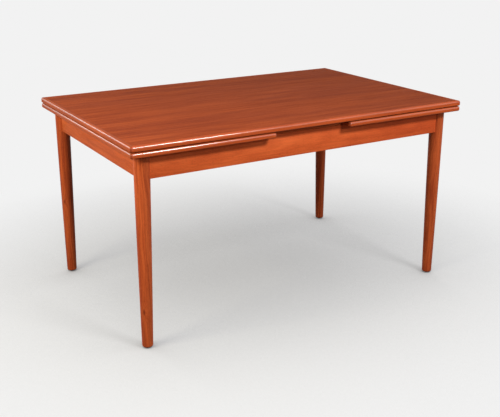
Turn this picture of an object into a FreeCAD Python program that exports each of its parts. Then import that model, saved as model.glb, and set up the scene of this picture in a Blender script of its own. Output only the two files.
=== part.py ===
import FreeCAD, Part
import math
import os

# Draw leaf table in solid and veneered hardwood, millimetres.
# Origin on the floor under the middle of the closed table.
# +X runs along the table, -Y is the front, +Z is up.

V = FreeCAD.Vector

# ---- driving dimensions -----------------------------------------------------
top_length = 1380.0
top_width = 900.0
table_height = 730.0
top_thick = 19.7

leaf_length = 536.6
leaf_thick = 18.3
leaf_inset = 0.5            # leaf edges set back from the top's edges
leaf_gap = 2.0              # between the leaves and the underside of the top
end_gap = 1.0               # between a drawn leaf and the end of the top

lip_width = 14.0            # solid wood lipping round the veneered panels
lip_round_up = 5.0
lip_round_down = 3.0
lip_corner = 9.0

apron_bottom = 605.0
apron_thick = 22.0
apron_clear = 0.5           # aprons stay this far under the leaves
apron_end_inset = 50.0      # apron faces, measured in from the top's edges
apron_side_inset = 45.0
tenon_thick = 12.0
tenon_height = 60.0
tenon_from_axis = 1.0

leg_foot_end = 54.5         # leg axis at the floor, in from the end of the top
leg_axis_side = 63.0        # leg axis, in from the long edge
leg_rake_run = 6.5          # the axis leans inwards by this much ...
leg_rake_height = 600.0     # ... at this height
leg_radius_foot = 19.1
leg_radius_mid = 23.4
leg_radius_top = 27.4
leg_mid_height = 300.0      # the taper is quicker below this height
leg_foot_bevels = ((0.0, 5.0), (1.6, 1.6), (5.0, 0.0))  # (up, in) steps that round the foot
glide_radius = 8.5
glide_height = 4.0
glide_nail_radius = 1.2
glide_nail_length = 14.0
glide_bevel = 1.5

bearer_width = 26.0
bearer_depth = 30.0         # of the parallel inner part
bearer_step = 2.0           # inner part lies this much under the leaf
bearer_outer = 278.0        # distances of the two bearer tracks from the middle
bearer_pitch = 38.0         # between neighbouring tracks of the two leaves
bearer_end_inset = 51.0     # outer end of a bearer, in from the end of the top
guide_play = 0.3            # under and over a bearer in its guide
guide_side_play = 0.4
stop_radius = 5.0
stop_drop = 10.0            # a stop peg hangs this far under its bearer
stop_margin = 16.0          # from the stop peg to the end of the bearer
stop_play = 0.9             # between a stop peg and the cross rail when the leaf is drawn

board_length = 300.0        # along X
board_side_inset = 48.0     # in from the long edges of the top
board_under = 688.3
board_top = 708.0
rail_thick = 22.0
rail_from_middle = 137.0
rail_bottom = 618.0
rail_housing = 8.0          # let into the long aprons
pass_play = 3.0             # room round the other leaf's bearers
pass_bottom = 630.0

felt_width = 20.0
felt_play = 0.3
felt_end_inset = 34.0       # middle of an end strip, in from the end of the top
board_felt_from_middle = 128.0

peg_offset = 200.0          # along Y, both sides
peg_radius = 9.0
peg_play = 1.0
peg_bottom = 682.0
peg_collar_radius = 13.0
peg_collar = 1.5
peg_top = 724.3
peg_socket_top = 725.5

block_near = 25.0           # corner block, measured from the corner along each apron
block_far = 64.0
block_bottom = 622.0
block_top = 682.0
block_screw_along = 47.0
block_screw_head = 9.0      # head face, in from the apron's inner face

screw_head_radius = 4.2
screw_shank_radius = 2.1
screw_head_height = 2.6
bearer_screw_bite = 12.0    # into the leaf
bearer_screw_sink = 0.4     # heads lie this deep in the bearers
board_screw_length = 40.0
block_screw_length = 27.0

# ---- derived places -----------------------------------------------------------
half_length = top_length / 2
half_width = top_width / 2
top_under = table_height - top_thick
leaf_top = top_under - leaf_gap
leaf_under = leaf_top - leaf_thick
leaf_outer = half_length - leaf_inset
leaf_inner = leaf_outer - leaf_length
apron_top = leaf_under - apron_clear
apron_end_face = half_length - apron_end_inset
apron_side_face = half_width - apron_side_inset
apron_end_back = apron_end_face - apron_thick
apron_side_back = apron_side_face - apron_thick
leg_x = half_length - leg_foot_end
leg_y = half_width - leg_axis_side
leg_rake = math.degrees(math.atan2(leg_rake_run, leg_rake_height))

draw_run = leaf_length + leaf_inset + end_gap
draw_rise = top_thick + leaf_gap
draw_slope = draw_rise / draw_run
drawn_stop_x = rail_from_middle - rail_thick / 2 - stop_radius - stop_play
bearer_stop_x = draw_run - drawn_stop_x
bearer_inner_end = bearer_stop_x + stop_margin

parts = {}


# ---- small helpers ----------------------------------------------------------------
def box(low, high):
    """Box between two corners given as (x, y, z)."""
    size = [b - a for a, b in zip(low, high)]
    return Part.makeBox(size[0], size[1], size[2], V(*low))


def prism(points, thickness, direction):
    """Closed outline swept by a thickness along a direction."""
    corners = [V(*p) for p in points]
    outline = Part.makePolygon(corners + corners[:1])
    return Part.Face(outline).extrude(V(*direction) * thickness)


def rod(radius, start, direction, length):
    return Part.makeCylinder(radius, length, V(*start), V(*direction))


def turned(half_section):
    """Solid turned about Z from a closed half section of (radius, height) corners."""
    corners = [V(r, 0, z) for r, z in half_section]
    outline = Part.makePolygon(corners + corners[:1])
    return Part.Face(outline).revolve(V(0, 0, 0), V(0, 0, 1), 360)


def half_turn(shape):
    """The same piece for the other end of the table."""
    copy = shape.copy()
    copy.rotate(V(0, 0, 0), V(0, 0, 1), 180)
    return copy


def clean(shape):
    """Single solid with its split faces joined."""
    joined = shape.removeSplitter()
    if len(joined.Solids) != 1:
        raise ValueError("piece came out as %d solids" % len(joined.Solids))
    return joined.Solids[0]


def keep(name, shape):
    parts[name] = shape


# ---- screws -----------------------------------------------------------------------
def six_sided(radius, start, direction, length):
    """Six-sided rod: screws and nails are many, so each has few faces."""
    corners = [V(radius, 0, 0)]
    turn = FreeCAD.Rotation(V(0, 0, 1), 60)
    while len(corners) < 6:
        corners.append(turn.multVec(corners[-1]))
    shape = prism(corners, length, (0, 0, 1))
    shape.Placement = FreeCAD.Placement(V(*start), FreeCAD.Rotation(V(0, 0, 1), V(*direction)))
    return shape


def wood_screw(head, direction, length):
    """Plain screw, its flat head face centred on the point head."""
    cap = six_sided(screw_head_radius, head, direction, screw_head_height)
    shank = six_sided(screw_shank_radius, head, direction, length)
    return cap.fuse(shank).removeSplitter().Solids[0]


def screw_hole(screw, head, direction, open_depth):
    """The screw's own room and the hole behind its head."""
    behind = [-d for d in direction]
    return screw.fuse(six_sided(screw_head_radius, head, behind, open_depth))


# ---- panels with mitred lippings ---------------------------------------------------------
def edged_panel(x_low, x_high, y_low, y_high, z_low, z_high):
    """Flat panel and its four lippings with rounded edges and mitred corners."""
    blank = box((x_low, y_low, z_low), (x_high, y_high, z_high))
    upright = [e for e in blank.Edges if e.BoundBox.ZLength > 1]
    blank = blank.makeFillet(lip_corner, upright)
    upper = [e for e in blank.Edges if e.BoundBox.ZMin > z_high - 0.01]
    blank = blank.makeFillet(lip_round_up, upper)
    lower = [e for e in blank.Edges if e.BoundBox.ZMax < z_low + 0.01]
    blank = blank.makeFillet(lip_round_down, lower)
    w = lip_width
    panel = box((x_low + w, y_low + w, z_low), (x_high - w, y_high - w, z_high))
    ring = blank.cut(panel)
    reach = 2 * w
    corner = {
        "fl": ((x_low, y_low), (x_low + reach, y_low + reach)),
        "fr": ((x_high, y_low), (x_high - reach, y_low + reach)),
        "bl": ((x_low, y_high), (x_low + reach, y_high - reach)),
        "br": ((x_high, y_high), (x_high - reach, y_high - reach)),
    }
    sides = {"front": ("fl", "fr"), "back": ("bl", "br"), "left": ("fl", "bl"), "right": ("fr", "br")}
    lippings = {}
    for side, (a, b) in sides.items():
        outline = [corner[a][0], corner[b][0], corner[b][1], corner[a][1]]
        wedge = prism([(x, y, z_low) for x, y in outline], z_high - z_low, (0, 0, 1))
        lippings[side] = clean(ring.common(wedge))
    return panel, lippings


# ---- table top ------------------------------------------------------------------------------
def make_top():
    panel, lippings = edged_panel(-half_length, half_length, -half_width, half_width,
                                  top_under, table_height)
    for y in (-peg_offset, peg_offset):
        socket = rod(peg_radius + peg_play, (0, y, top_under), (0, 0, 1), peg_socket_top - top_under)
        panel = panel.cut(socket)
    keep("top_panel", clean(panel))
    for side, piece in lippings.items():
        keep("top_lipping_" + side, piece)
    strips = []
    strip_half = half_width - 2 * lip_width
    for side in (-1, 1):
        middle = side * (half_length - felt_end_inset)
        strips.append(box((middle - felt_width / 2, -strip_half, leaf_top + felt_play),
                          (middle + felt_width / 2, strip_half, top_under)))
    keep("top_felt_strips", Part.makeCompound(strips))


def make_guide_pegs():
    """Loose turned pegs: spigot in the centre board, collar on it, head in the top."""
    collar_low = board_top + felt_play
    collar_high = collar_low + peg_collar
    pegs = []
    for y in (-peg_offset, peg_offset):
        peg = turned([
            (0, peg_bottom),
            (peg_radius, peg_bottom),
            (peg_radius, collar_low),
            (peg_collar_radius, collar_low),
            (peg_collar_radius, collar_high),
            (peg_radius, collar_high),
            (peg_radius, peg_top),
            (0, peg_top),
        ])
        peg.translate(V(0, y, 0))
        pegs.append(peg)
    keep("guide_pegs", Part.makeCompound(pegs))


# ---- leaf with its bearers, drawn for the left end ---------------------------------------------
def bearer_upper(x):
    """Height of the inner part's upper edge above the point x on the left bearers."""
    return leaf_under - bearer_step - (x + leaf_inner) * draw_slope


def bearer_lower(x):
    return bearer_upper(x) - bearer_depth


def left_bearer_tracks():
    """Y of the left leaf's two bearers; the right leaf's are turned half round."""
    half_pitch = bearer_pitch / 2
    return {"front": -(bearer_outer + half_pitch), "back": bearer_outer - half_pitch}


def bearer_section(x_out, x_in):
    return [
        (x_out, leaf_under),
        (-leaf_inner, leaf_under),
        (-leaf_inner, bearer_upper(-leaf_inner)),
        (x_in, bearer_upper(x_in)),
        (x_in, bearer_lower(x_in)),
        (x_out, bearer_lower(x_out)),
    ]


def make_left_leaf():
    """Every piece of the left leaf by its short name."""
    panel, lippings = edged_panel(-leaf_outer, -leaf_inner, -half_width + leaf_inset,
                                  half_width - leaf_inset, leaf_under, leaf_top)
    pieces = {"lipping_" + side: piece for side, piece in lippings.items()}
    pieces["lipping_outer"] = pieces.pop("lipping_left")
    pieces["lipping_inner"] = pieces.pop("lipping_right")
    x_out = -half_length + bearer_end_inset
    screw_places = [-leaf_outer + leaf_length * share for share in (0.16, 0.5, 0.84)]
    screws = []
    stops = []
    for end, y in left_bearer_tracks().items():
        section = bearer_section(x_out, bearer_inner_end)
        bar = prism([(x, y - bearer_width / 2, z) for x, z in section], bearer_width, (0, 1, 0))
        stop_low = bearer_lower(bearer_stop_x) - stop_drop
        stop_high = bearer_upper(bearer_stop_x) - 1.0
        stop = rod(stop_radius, (bearer_stop_x, y, stop_low), (0, 0, 1), stop_high - stop_low)
        bar = bar.cut(stop)
        stop_hole = rod(stop_radius, (bearer_stop_x, y, stop_high), (0, 0, 1), 5.0)
        bar = bar.cut(stop_hole)
        stops.append(stop)
        for x in screw_places:
            head = (x, y, bearer_lower(x) + bearer_screw_sink)
            length = leaf_under + bearer_screw_bite - head[2]
            screw = wood_screw(head, (0, 0, 1), length)
            bar = bar.cut(screw_hole(screw, head, (0, 0, 1), bearer_depth))
            panel = panel.cut(screw)
            screws.append(screw)
        pieces["bearer_" + end] = clean(bar)
    pieces["panel"] = clean(panel)
    pieces["bearer_stops"] = Part.makeCompound(stops)
    pieces["bearer_screws"] = Part.makeCompound(screws)
    return pieces


def make_leaves():
    """Both leaves are alike, so the right one is the left one turned half round."""
    swap = {"front": "back", "back": "front"}
    for name, piece in make_left_leaf().items():
        keep("left_leaf_" + name, piece)
        stem, _, end = name.rpartition("_")
        other = stem + "_" + swap[end] if end in swap else name
        keep("right_leaf_" + other, half_turn(piece))


# ---- legs ----------------------------------------------------------------------------------------
def leg_blank():
    """Turned leg standing on Z: rounded foot, quick lower taper, slower upper taper."""
    low = glide_height - 1.0
    foot = [(leg_radius_foot - inwards, glide_height + up) for up, inwards in leg_foot_bevels]
    return turned([
        (0, low),
        (foot[0][0], low),
        *foot,
        (leg_radius_mid, leg_mid_height),
        (leg_radius_top, table_height),
        (0, table_height),
    ])


def glide():
    """Bevelled glide with the nail that holds it."""
    disc = turned([
        (0, 0),
        (glide_radius - glide_bevel, 0),
        (glide_radius, glide_bevel),
        (glide_radius, glide_height),
        (0, glide_height),
    ])
    nail = six_sided(glide_nail_radius, (0, 0, glide_bevel), (0, 0, 1),
                     glide_height - glide_bevel + glide_nail_length)
    return disc.fuse(nail).removeSplitter().Solids[0]


def mirrored(shape, side_x, side_y):
    """A piece drawn for the front left corner, moved to another corner."""
    if side_x > 0:
        shape = shape.mirror(V(0, 0, 0), V(1, 0, 0))
    if side_y > 0:
        shape = shape.mirror(V(0, 0, 0), V(0, 1, 0))
    return shape


corners = {
    "front_left": (-1, -1),
    "front_right": (1, -1),
    "back_left": (-1, 1),
    "back_right": (1, 1),
}


def raked_leg():
    """Front left leg in its place, leaning inwards to its top and cut level at both ends."""
    leg = leg_blank()
    leg.rotate(V(0, 0, 0), V(0, 1, 0), leg_rake)
    leg.translate(V(-leg_x, -leg_y, 0))
    return leg.common(box((-half_length, -half_width, glide_height), (0, 0, apron_top)))


# ---- aprons, cross rails and centre board ------------------------------------------------------------
def leg_axis_x(z):
    return leg_x - leg_rake_run * z / leg_rake_height


def tenon_band():
    middle = (apron_bottom + apron_top) / 2
    return middle - tenon_height / 2, middle + tenon_height / 2


def front_apron_tenons():
    z_low, z_high = tenon_band()
    y_middle = -(apron_side_face - apron_thick / 2)
    y_low = y_middle - tenon_thick / 2
    reach = leg_axis_x(apron_bottom) - tenon_from_axis
    return box((-reach, y_low, z_low), (reach, y_low + tenon_thick, z_high))


def left_apron_tenons():
    z_low, z_high = tenon_band()
    x_middle = -(apron_end_face - apron_thick / 2)
    x_low = x_middle - tenon_thick / 2
    reach = leg_y - tenon_from_axis
    return box((x_low, -reach, z_low), (x_low + tenon_thick, reach, z_high))


def make_frame():
    legs = {name: mirrored(raked_leg(), *side) for name, side in corners.items()}
    every_leg = list(legs.values())

    front = box((-leg_x, -apron_side_face, apron_bottom), (leg_x, -apron_side_back, apron_top))
    front = front.cut(every_leg).Solids
    front = max(front, key=lambda s: s.Volume)
    front = front.fuse(front_apron_tenons())
    end = box((-apron_end_face, -leg_y, apron_bottom), (-apron_end_back, leg_y, apron_top))
    end = end.cut(every_leg).Solids
    end = max(end, key=lambda s: s.Volume)
    end = end.fuse(left_apron_tenons())

    foot = glide()
    foot.translate(V(-leg_x, -leg_y, 0))
    glides = []
    for name, side in corners.items():
        cutters = [mirrored(piece, *side) for piece in (front_apron_tenons(), left_apron_tenons(), foot)]
        keep("leg_" + name, clean(legs[name].cut(cutters)))
        glides.append(cutters[-1])
    keep("foot_glides", Part.makeCompound(glides))

    # cross rails, let into both long aprons
    rails = {}
    rail_reach = apron_side_back + rail_housing
    for name, side in (("left", -1), ("right", 1)):
        x = side * rail_from_middle
        rail = box((x - rail_thick / 2, -rail_reach, rail_bottom),
                   (x + rail_thick / 2, rail_reach, board_under))
        rails[name] = rail
    front = front.cut(list(rails.values()))

    # the left leaf's tracks: sloped guides near its own end, plain gaps in the far rail
    own_half = bearer_width / 2 + guide_side_play
    pass_half = bearer_width / 2 + pass_play
    beyond = half_length + 10
    for y in left_bearer_tracks().values():
        floor = [(-beyond, bearer_lower(-beyond) - guide_play), (0, bearer_lower(0) - guide_play),
                 (0, table_height), (-beyond, table_height)]
        guide = prism([(x, y - own_half, z) for x, z in floor], 2 * own_half, (0, 1, 0))
        gap = box((0, y - pass_half, pass_bottom), (beyond, y + pass_half, table_height))
        end = end.cut(guide)
        rails["left"] = rails["left"].cut([guide, half_turn(gap)])
    rails["right"] = half_turn(rails["left"])

    # centre board, housed into the long aprons and screwed down
    board_half = half_width - board_side_inset
    board = box((-board_length / 2, -board_half, board_under), (board_length / 2, board_half, board_top))
    for y in (-peg_offset, peg_offset):
        board = board.cut(rod(peg_radius + peg_play, (0, y, board_under), (0, 0, 1), board_top - board_under))
    front = front.cut(board)
    apron_line = apron_side_face - apron_thick / 2
    front_screws = [(x, -apron_line) for x in (-board_length / 3, 0, board_length / 3)]
    rail_screws = [(-rail_from_middle, y) for y in (-peg_offset / 2, peg_offset / 2)]
    screws = []
    for x, y in front_screws + rail_screws:
        screw = wood_screw((x, y, board_top), (0, 0, -1), board_screw_length)
        screws.append(screw)
        screws.append(half_turn(screw))
    board = board.cut(screws)
    front = front.cut(screws)
    keep("centre_board", clean(board))
    keep("centre_board_screws", Part.makeCompound(screws))
    for name, rail in rails.items():
        keep("cross_rail_" + name, clean(rail.cut(screws)))

    felts = []
    for side in (-1, 1):
        middle = side * board_felt_from_middle
        felts.append(box((middle - felt_width / 2, -board_half + 10, board_top),
                         (middle + felt_width / 2, board_half - 10, top_under - felt_play)))
    keep("centre_board_felt_strips", Part.makeCompound(felts))

    # corner blocks behind the legs, one screw into each apron
    x0 = -apron_end_back
    y0 = -apron_side_back
    outline = [(block_near, 0), (block_far, 0), (0, block_far), (0, block_near)]
    block = prism([(x0 + a, y0 + b, block_bottom) for a, b in outline], block_top - block_bottom, (0, 0, 1))
    block_z = (block_bottom + block_top) / 2
    heads = [
        ((x0 + block_screw_along, y0 + block_screw_head, block_z), (0, -1, 0)),
        ((x0 + block_screw_head, y0 + block_screw_along, block_z), (-1, 0, 0)),
    ]
    block_screws = []
    for head, direction in heads:
        screw = wood_screw(head, direction, block_screw_length)
        block = block.cut(screw_hole(screw, head, direction, block_far))
        block_screws.append(screw)
    all_screws = []
    for name, side in corners.items():
        keep("corner_block_" + name, clean(mirrored(block, *side)))
        all_screws += [mirrored(screw, *side) for screw in block_screws]
    keep("corner_block_screws", Part.makeCompound(all_screws))
    front = front.cut(all_screws)
    end = end.cut(all_screws)

    keep("apron_front", clean(front))
    keep("apron_back", half_turn(clean(front)))
    keep("apron_left", clean(end))
    keep("apron_right", half_turn(clean(end)))


make_top()
make_guide_pegs()
make_leaves()
make_frame()

os.makedirs("parts", exist_ok=True)
for name, shape in parts.items():
    if not shape.isValid():
        raise ValueError(name + " isn't valid")
    shape.exportStep("parts/" + name + ".step")
print(len(parts), "nodes,", sum(len(s.Solids) for s in parts.values()), "solids")
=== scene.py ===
import math

import bmesh
import bpy
import mathutils
from mathutils import Matrix, Vector


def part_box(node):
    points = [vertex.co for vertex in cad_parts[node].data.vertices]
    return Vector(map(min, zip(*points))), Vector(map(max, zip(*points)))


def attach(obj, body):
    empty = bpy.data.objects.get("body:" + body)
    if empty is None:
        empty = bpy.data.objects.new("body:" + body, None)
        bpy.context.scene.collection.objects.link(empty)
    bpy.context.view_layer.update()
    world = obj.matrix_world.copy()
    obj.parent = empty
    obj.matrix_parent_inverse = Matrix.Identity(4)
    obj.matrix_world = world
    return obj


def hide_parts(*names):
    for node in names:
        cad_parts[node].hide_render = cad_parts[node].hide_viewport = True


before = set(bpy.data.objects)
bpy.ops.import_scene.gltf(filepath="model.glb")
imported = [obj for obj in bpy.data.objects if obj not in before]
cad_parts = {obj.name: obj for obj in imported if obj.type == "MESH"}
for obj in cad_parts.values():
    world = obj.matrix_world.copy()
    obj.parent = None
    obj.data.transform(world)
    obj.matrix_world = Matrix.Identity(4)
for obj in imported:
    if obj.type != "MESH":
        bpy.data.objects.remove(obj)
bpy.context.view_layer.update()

# Draw leaf table: finishes, dressed pieces, stage, lamps and camera, in metres.
# +X runs along the table, -Y is the front, +Z is up.

MM = 0.001

# ---- sizes of the dressed pieces ----
round_steps = 10            # facets in a quarter round of a lipping
lip_round_up = 7 * MM
lip_round_down = 5.5 * MM
lip_corner = 9 * MM         # plan radius of the panel corners

leg_foot_round = 5 * MM
leg_foot_radius = 19.1 * MM
leg_taper = 17.1 * MM       # growth of the radius for each metre of height at the foot ...
leg_swell = -7.28 * MM      # ... and for each square metre above it
leg_lean = 6.5 / 600        # a leg goes this much further out for each metre that it goes down
leg_rings = 56
leg_sides = 72

board_ease = 0.9 * MM       # sandpapered arrises of aprons, rails, bearers and blocks
arris_turn = 50             # an edge that turns by more degrees than this is eased
sawn_smooth = 35            # edges that turn by more degrees than this show as edges
leg_smooth = 40
turned_smooth = 50
felt_smooth = 60
weld = 1e-6                 # corners that lie this near are one
bearer_depth = 30 * MM      # of a bearer's parallel inner part
draw_slope = 21.7 / 538.1   # rise of a leaf for each metre that it is drawn
block_near = 25 * MM        # a corner block leaves this much free round its leg

# Rounded ends of turned and moulded pieces, in millimetres, from the end to the side:
# (in from the side, in from the end).
stop_nose = ((1.4, 0), (0.4, 0.5), (0, 1.6))
peg_foot_nose = ((1.2, 0), (0.3, 0.5), (0, 1.5))
peg_head_nose = ((3.2, 0), (1.9, 0.3), (0.6, 1.4), (0, 3.0))
glide_nose = ((1.7, 0), (0.7, 0.4), (0.1, 1.3), (0, 2.2))
glide_dimple_nose = ((1.8, 0), (1.0, 0.1), (0.5, 0.6), (0, 1.2))

peg_radius = 9 * MM
peg_play = 1 * MM           # between a guide peg and its socket
socket_over = 5 * MM        # a socket's bore goes this far past the wood at both ends
peg_collar_heights = (708.3 * MM, 709.8 * MM)
peg_collar_ease = 0.4 * MM
glide_dimple_radius = 2.4 * MM
nail_head_radius = 2.0 * MM
nail_head_up = 1.0 * MM     # above the floor, so that it never scratches
nail_head_dish = 0.1 * MM
glide_sunk = 0.5 * MM       # how far a glide's top reaches into its leg

screw_head_radius = 4.2 * MM
screw_head_height = 2.6 * MM
screw_head_rim = 0.5 * MM   # how far the head's outer edge tapers in
screw_shank_radius = 2.1 * MM
screw_sides = 20
slot_width = 1.1 * MM
slot_depth = 1.0 * MM
pocket_radius = 4.7 * MM    # bore that a screw's head sits in
countersink_play = 0.2 * MM
pocket_over = 4 * MM        # the bore starts this far outside the wood

felt_row = 3 * MM           # spacing of the felt's uneven rows
felt_softness = 0.45        # share of the felt's thickness that its arrises round off
felt_clump_scale = 420
felt_fray = 0.02            # share by which the sides wander in
felt_dip = 0.14 * MM        # deepest hollow of the upper face

CORNERS = ("front_left", "front_right", "back_left", "back_right")

# ---- woods and other finishes ----
# Each cut of teak: light and dark wood, width of a growth ring, how far the rings sway and over what
# length, contrast, roughness, gloss of the oil, and for a lipping the IOR of its handled polish.
TEAK = {
    "veneer": {"light": (0.48, 0.090, 0.022), "dark": (0.265, 0.039, 0.009), "ring": 6.5 * MM,
               "sway": 0.035, "sway_length": 0.9, "contrast": 0.9, "roughness": 0.72, "gloss": 0.1},
    "top lipping": {"light": (0.60, 0.103, 0.020), "dark": (0.42, 0.062, 0.011), "ring": 4 * MM,
                    "sway": 0.012, "sway_length": 0.5, "contrast": 0.8, "roughness": 0.6, "gloss": 0.15,
                    "polish": 1.8},
    "leg": {"light": (0.62, 0.120, 0.028), "dark": (0.32, 0.041, 0.009), "ring": 4.5 * MM,
            "sway": 0.020, "sway_length": 0.28, "contrast": 0.95, "roughness": 0.5, "gloss": 0.14},
    "apron": {"light": (0.66, 0.130, 0.026), "dark": (0.49, 0.080, 0.013), "ring": 5 * MM,
              "sway": 0.02, "sway_length": 0.7, "contrast": 0.95, "roughness": 0.6, "gloss": 0.16},
}
TEAK["leaf lipping"] = {**TEAK["top lipping"], "polish": 1.95}
# The end lippings' teak is a darker copy of the lippings': painted shade on the table's ends.
TEAK["end lipping"] = {**TEAK["top lipping"], "polish": 1.6,
                       "light": (0.49, 0.096, 0.020), "dark": (0.345, 0.058, 0.011)}
# The front apron's teak is a lighter copy of the apron's: painted light on the table's front.
TEAK["front apron"] = {**TEAK["apron"], "light": (0.88, 0.164, 0.037), "dark": (0.66, 0.100, 0.020)}
TEAK["centre board"] = {**TEAK["apron"], "ring": 4.5 * MM, "sway": 0.012, "sway_length": 0.5,
                        "contrast": 1.0, "gloss": 0.2}
polish_roughness = 0.165
glue = (0.10, 0.028, 0.012)
# Painted shade on the round corners of the lippings, at the mitres.
corner_shade_tint = (0.58, 0.52, 0.55)

# Painted light falloff: the colour is lightest at the front left and deepens away from it, (start, end, tint
# of the deeper end) along the table.
painted_falloff_of_top = (-0.6, 0.6, (0.85, 0.85, 0.85))
painted_falloff_of_front_apron = (-0.3, 0.75, (0.78, 0.63, 0.63))
painted_falloff_across = 0.3         # metres along the table that count as much as one across it

# Grime at the feet and painted shade in the gap: (height where it is darkest, height where it ends, how
# light it leaves the wood).
foot_grime = (3 * MM, 10 * MM, 0.4)
# Painted shade in the gap between the top and a leaf, on the lower round of the top's lippings.
gap_painted_shade = (0.4 * MM, 4.8 * MM, 0.3)   # above the underside of the top

beech_light = (0.60, 0.40, 0.235)
beech_dark = (0.50, 0.305, 0.165)
beech_fleck = (0.36, 0.19, 0.09)
felt_green = (0.035, 0.060, 0.030)
felt_lint = (0.085, 0.12, 0.065)
zinc_bright = (0.56, 0.55, 0.52)
zinc_dull = (0.33, 0.31, 0.28)
plastic_dark = (0.030, 0.022, 0.017)
plastic_scuffed = (0.14, 0.12, 0.10)


# ---- node helpers ----
def plug(tree, socket, value):
    if isinstance(value, bpy.types.NodeSocket):
        tree.links.new(value, socket)
    else:
        socket.default_value = value


def node(tree, kind, inputs=None, **settings):
    """One node. An input is named or numbered, and takes a value or another node's output."""
    new = tree.nodes.new(kind)
    for key, value in settings.items():
        setattr(new, key, value)
    for key, value in (inputs or {}).items():
        plug(tree, new.inputs[key], value)
    return new


def made(tree, kind, inputs=None, **settings):
    """First output of a new node."""
    return node(tree, kind, inputs, **settings).outputs[0]


def calc(tree, operation, *values, clamp=False):
    inputs = dict(enumerate(values))
    return made(tree, "ShaderNodeMath", inputs, operation=operation, use_clamp=clamp)


def times(tree, first, second):
    return calc(tree, "MULTIPLY", first, second)


def ease(tree, value, low, high, start=0.0, end=1.0):
    """Smooth step of a value between low and high."""
    inputs = {"Value": value, "From Min": low, "From Max": high, "To Min": start, "To Max": end}
    return made(tree, "ShaderNodeMapRange", inputs, interpolation_type="SMOOTHSTEP")


def blend_colour(tree, share, first, second, kind="MIX"):
    """Mix of two colours, each a socket or (red, green, blue)."""
    mix = node(tree, "ShaderNodeMix", {"Factor": share}, data_type="RGBA", blend_type=kind)
    for number, colour in ((6, first), (7, second)):
        plug(tree, mix.inputs[number], (*colour, 1) if isinstance(colour, tuple) else colour)
    return mix.outputs[2]


def noise(tree, vector, scale=1.0, detail=2.0, roughness=0.5):
    inputs = {"Vector": vector, "Scale": scale, "Detail": detail, "Roughness": roughness}
    return made(tree, "ShaderNodeTexNoise", inputs)


def vector_of(tree, x=0.0, y=0.0, z=0.0):
    return made(tree, "ShaderNodeCombineXYZ", {0: x, 1: y, 2: z})


def parts_of(tree, vector):
    return node(tree, "ShaderNodeSeparateXYZ", {0: vector}).outputs


def vector_sum(tree, first, second, operation="ADD"):
    return made(tree, "ShaderNodeVectorMath", {0: first, 1: second}, operation=operation)


def stretched(tree, vector, scale):
    """The same point with each axis scaled."""
    return vector_sum(tree, vector, scale, "MULTIPLY")


def length_of(tree, vector):
    return node(tree, "ShaderNodeVectorMath", {0: vector}, operation="LENGTH").outputs["Value"]


def brightened(tree, colour, share):
    return made(tree, "ShaderNodeVectorMath", {0: colour, 3: share}, operation="SCALE")


def object_place(tree):
    return node(tree, "ShaderNodeTexCoord").outputs["Object"]


def new_group(name, kind, inputs, outputs):
    """Node group. Each socket is {label: type}, or for an input that may stay as it is (type, value)."""
    tree = bpy.data.node_groups.new(name, kind)
    for label, wanted in inputs.items():
        socket_type, value = (wanted, None) if isinstance(wanted, str) else wanted
        socket = tree.interface.new_socket(label, in_out="INPUT", socket_type=socket_type)
        if value is not None:
            socket.default_value = value
    for label, socket_type in outputs.items():
        tree.interface.new_socket(label, in_out="OUTPUT", socket_type=socket_type)
    given = tree.nodes.new("NodeGroupInput").outputs
    result = tree.nodes.new("NodeGroupOutput").inputs
    return tree, given, result


def ended(tree, given, result, geometry):
    """The geometry tree, with its result made real and given its material."""
    geometry = made(tree, "GeometryNodeRealizeInstances", {0: geometry})
    geometry = made(tree, "GeometryNodeSetMaterial", {"Geometry": geometry, "Material": given["Material"]})
    plug(tree, result["Geometry"], geometry)
    return tree


def blank_tree(owner):
    owner.use_nodes = True
    owner.node_tree.nodes.clear()
    return owner.node_tree


VECTOR = "NodeSocketVector"
NUMBER = "NodeSocketFloat"
COUNT = "NodeSocketInt"
GEOMETRY = "NodeSocketGeometry"
MATERIAL = "NodeSocketMaterial"


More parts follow.
